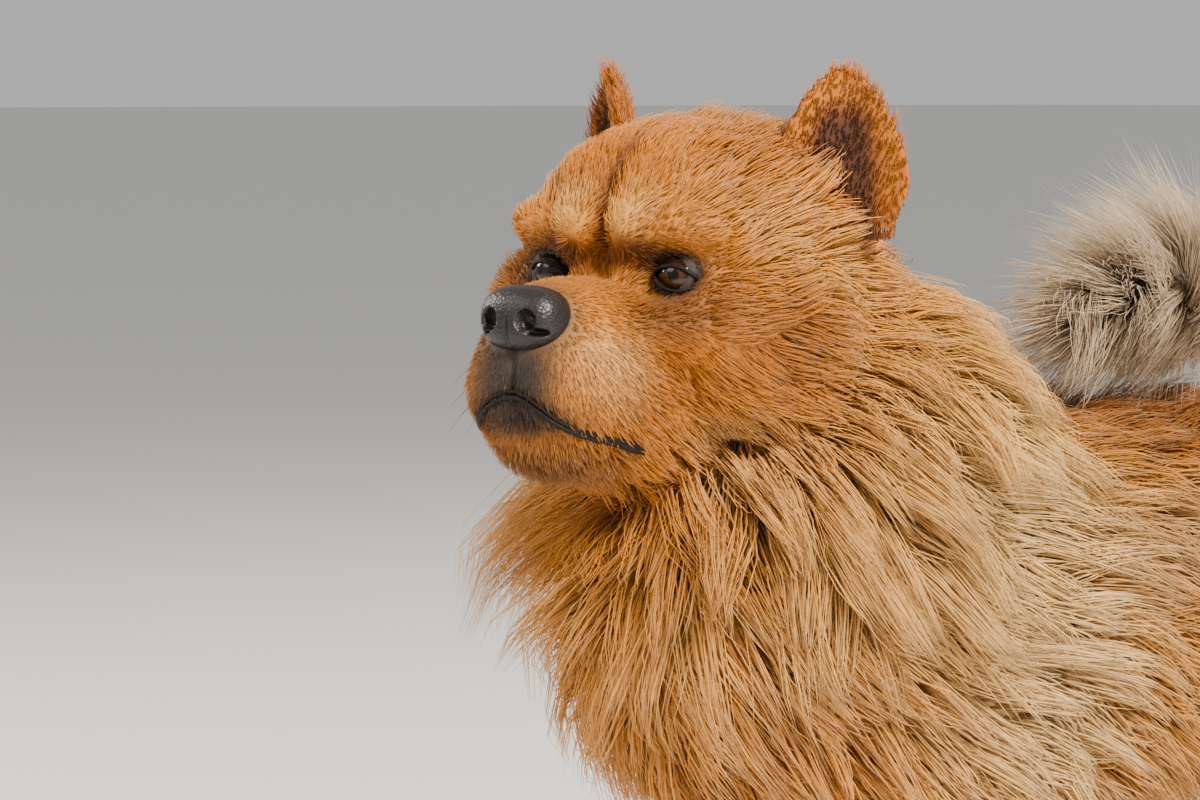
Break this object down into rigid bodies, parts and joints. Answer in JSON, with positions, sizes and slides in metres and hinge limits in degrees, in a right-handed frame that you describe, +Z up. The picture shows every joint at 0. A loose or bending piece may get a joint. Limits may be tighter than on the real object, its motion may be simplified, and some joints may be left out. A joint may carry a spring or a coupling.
{
  "type": "life-size standing chow chow dog",
  "caption": "Standing chow chow at rest, head turned to its left, with a thick ruff, small upright ears and a plumed tail curled over the back.",
  "frame": {"origin": "the middle of the dog's box, on the floor", "axes": "+Z up, -Y the way the body faces, +X towards the dog's left side"},
  "size_m": [0.3444, 0.6984, 0.6677],
  "materials": {
    "red_coat": "soft red-gold dog coat",
    "cream_coat": "soft pale gold dog coat",
    "dark_coat": "short dark red dog coat",
    "grey_coat": "long grey-cream dog coat",
    "eye": "wet dark brown",
    "nose": "moist black leather"
  },
  "bodies": {
    "root": {"head": "red_coat", "ear_left": "dark_coat", "ear_right": "dark_coat", "eye_left": "eye", "eye_right": "eye", "nose": "nose", "neck": "cream_coat", "torso": "red_coat", "tail": "grey_coat", "foreleg_left": "red_coat", "foreleg_right": "red_coat", "hindleg_left": "red_coat", "hindleg_right": "red_coat", "forepaw_left": "red_coat", "forepaw_right": "red_coat", "hindpaw_left": "red_coat", "hindpaw_right": "red_coat"}
  },
  "joints": []
}
